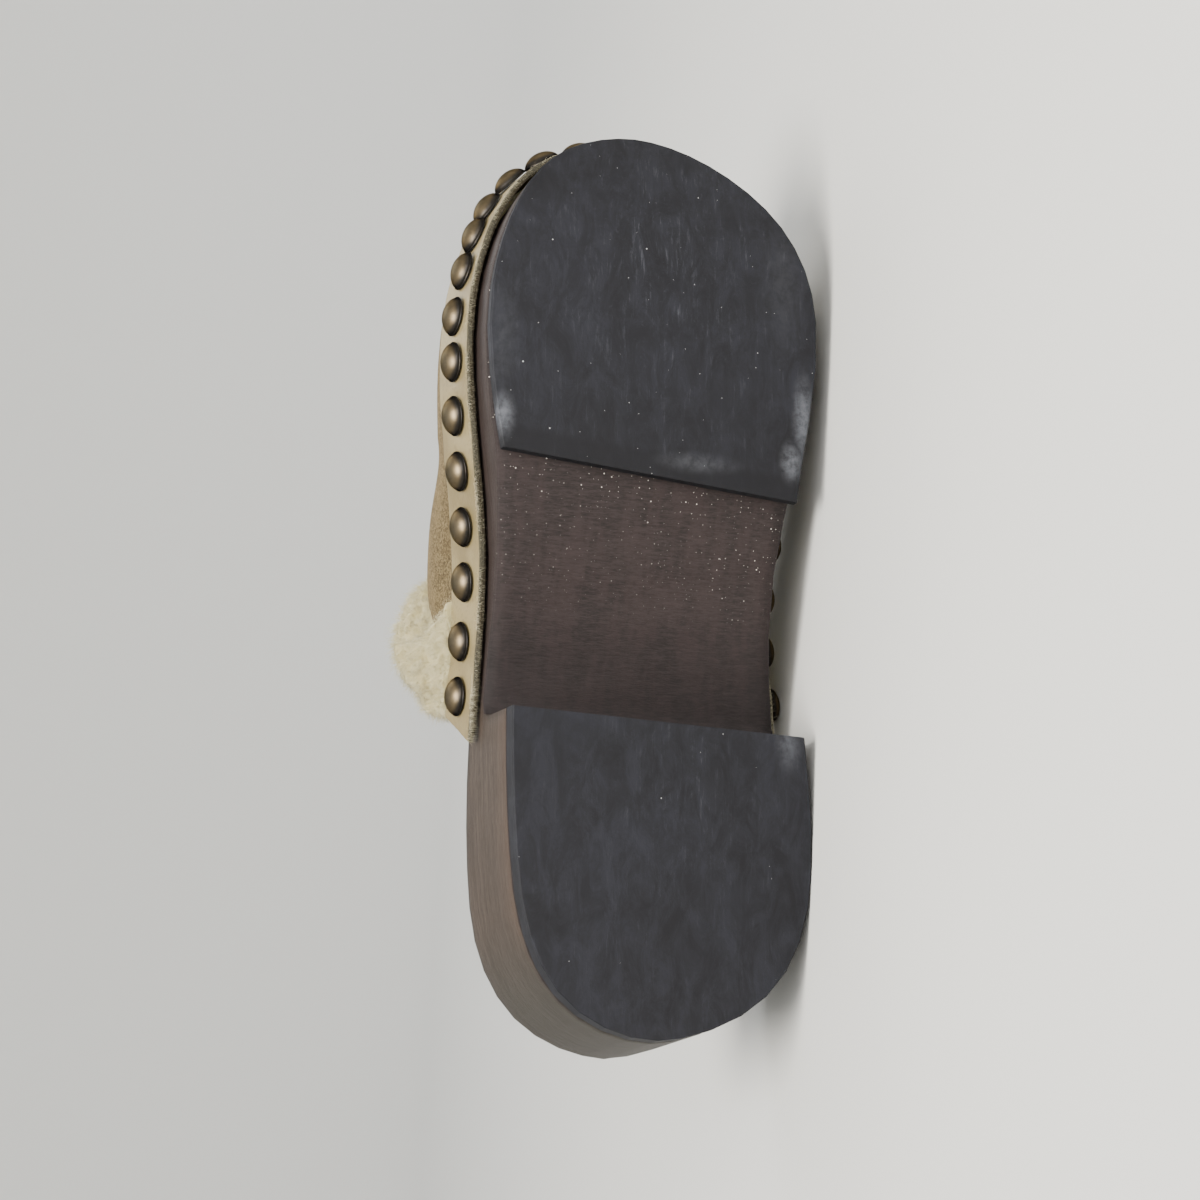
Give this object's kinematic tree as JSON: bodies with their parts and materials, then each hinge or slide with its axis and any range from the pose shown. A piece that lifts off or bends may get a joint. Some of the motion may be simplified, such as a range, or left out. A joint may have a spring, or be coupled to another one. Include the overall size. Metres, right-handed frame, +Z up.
{
  "type": "shearling clog",
  "caption": "Left shearling-lined clog lying on its outer side: carved wooden base with block heel, suede vamp, wool cuff, studded leather band.",
  "frame": {"origin": "middle of the bounding box on the ground the shoe lies on", "axes": "+X towards the toe, -Y the way the sole faces, +Z up; the outer side of the shoe is down"},
  "size_m": [0.2682, 0.1292, 0.1152],
  "materials": {
    "dark_stained_wood": "satin",
    "black_rubber": "matte",
    "insole_leather": "matte",
    "suede": "matte",
    "cream_leather": "satin",
    "aged_brass": "satin",
    "wool": "matte"
  },
  "bodies": {
    "root": {"wooden_base": "dark_stained_wood", "heel_lift": "black_rubber", "forefoot_pad": "black_rubber", "insole": "insole_leather", "upper": "suede", "band": "cream_leather", "wool_cuff": "wool", "stud_01": "aged_brass", "stud_02": "aged_brass", "stud_03": "aged_brass", "stud_04": "aged_brass", "stud_05": "aged_brass", "stud_06": "aged_brass", "stud_07": "aged_brass", "stud_08": "aged_brass", "stud_09": "aged_brass", "stud_10": "aged_brass", "stud_11": "aged_brass", "stud_12": "aged_brass", "stud_13": "aged_brass", "stud_14": "aged_brass", "stud_15": "aged_brass", "stud_16": "aged_brass", "stud_17": "aged_brass", "stud_18": "aged_brass", "stud_19": "aged_brass", "stud_20": "aged_brass", "stud_21": "aged_brass", "stud_22": "aged_brass", "stud_23": "aged_brass", "stud_24": "aged_brass", "stud_25": "aged_brass", "stud_26": "aged_brass", "stud_27": "aged_brass", "stud_28": "aged_brass", "stud_29": "aged_brass"}
  },
  "joints": []
}
